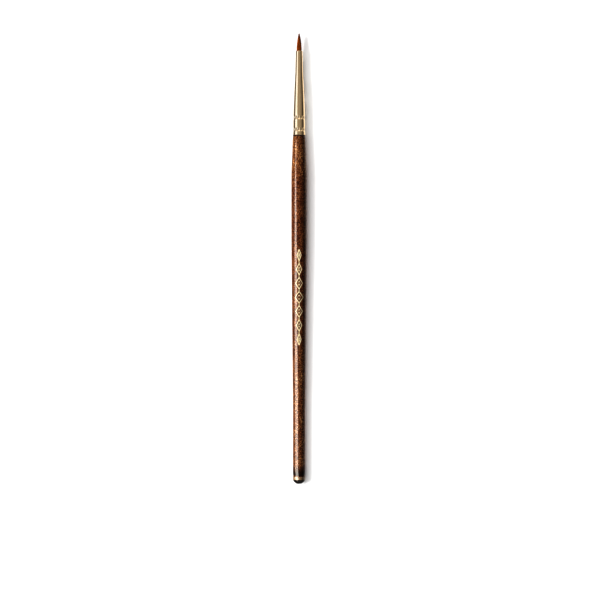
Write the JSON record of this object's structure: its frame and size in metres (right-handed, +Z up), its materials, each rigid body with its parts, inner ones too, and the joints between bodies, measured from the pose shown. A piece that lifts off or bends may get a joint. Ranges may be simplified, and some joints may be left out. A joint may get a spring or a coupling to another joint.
{
  "type": "fine detail brush",
  "caption": "Fine detail brush with a slim lacquered wooden handle, a crimped pale gold ferrule and a short pointed hair tuft that bends and springs back.",
  "frame": {"origin": "on the surface the brush lies on, under the middle of its length", "axes": "+Y along the brush from the tail to the hair tip, +Z up from the surface it lies on, +X to the right when looking from the tail to the hair"},
  "size_m": [0.006, 0.18, 0.0061],
  "materials": {
    "stained_wood": "dark brown stain with darker mottling under clear gloss lacquer",
    "black_lacquer": "gloss black dipping lacquer",
    "gold_foil": "satin gold foil",
    "gold_metal": "polished pale gold, drawn tube",
    "adhesive": "cured glue",
    "resin": "cured amber resin",
    "thread": "waxed linen thread",
    "hair": "natural orange-brown hair, darker at the tip"
  },
  "bodies": {
    "brush": {"handle": "stained_wood", "tail_dip": "black_lacquer", "gold_band": "gold_foil", "foil_ornament": "gold_foil", "ferrule": "gold_metal", "tenon_glue": "adhesive", "root_plug": "resin", "binding_thread": "thread", "tuft_root": "hair"},
    "base_slice": {"tuft_base": "hair"},
    "belly_slice": {"tuft_belly": "hair"},
    "taper_slice": {"tuft_taper": "hair"},
    "point_slice": {"tuft_point": "hair"}
  },
  "joints": [
    {"name": "base_lift", "type": "hinge", "parent": "brush", "child": "base_slice", "pos_m": [0, 0.0839, 0.00302], "axis": [1, 0, 0], "range_deg": [-20, 20], "stiffness_Nm_per_rad": 0.0004},
    {"name": "belly_sway", "type": "hinge", "parent": "base_slice", "child": "belly_slice", "pos_m": [0, 0.0854, 0.00302], "axis": [0, 0, 1], "range_deg": [-20, 20], "stiffness_Nm_per_rad": 0.0003},
    {"name": "taper_lift", "type": "hinge", "parent": "belly_slice", "child": "taper_slice", "pos_m": [0, 0.0869, 0.00302], "axis": [1, 0, 0], "range_deg": [-20, 20], "stiffness_Nm_per_rad": 0.0002},
    {"name": "point_sway", "type": "hinge", "parent": "taper_slice", "child": "point_slice", "pos_m": [0, 0.0883, 0.00302], "axis": [0, 0, 1], "range_deg": [-20, 20], "stiffness_Nm_per_rad": 0.0001}
  ]
}
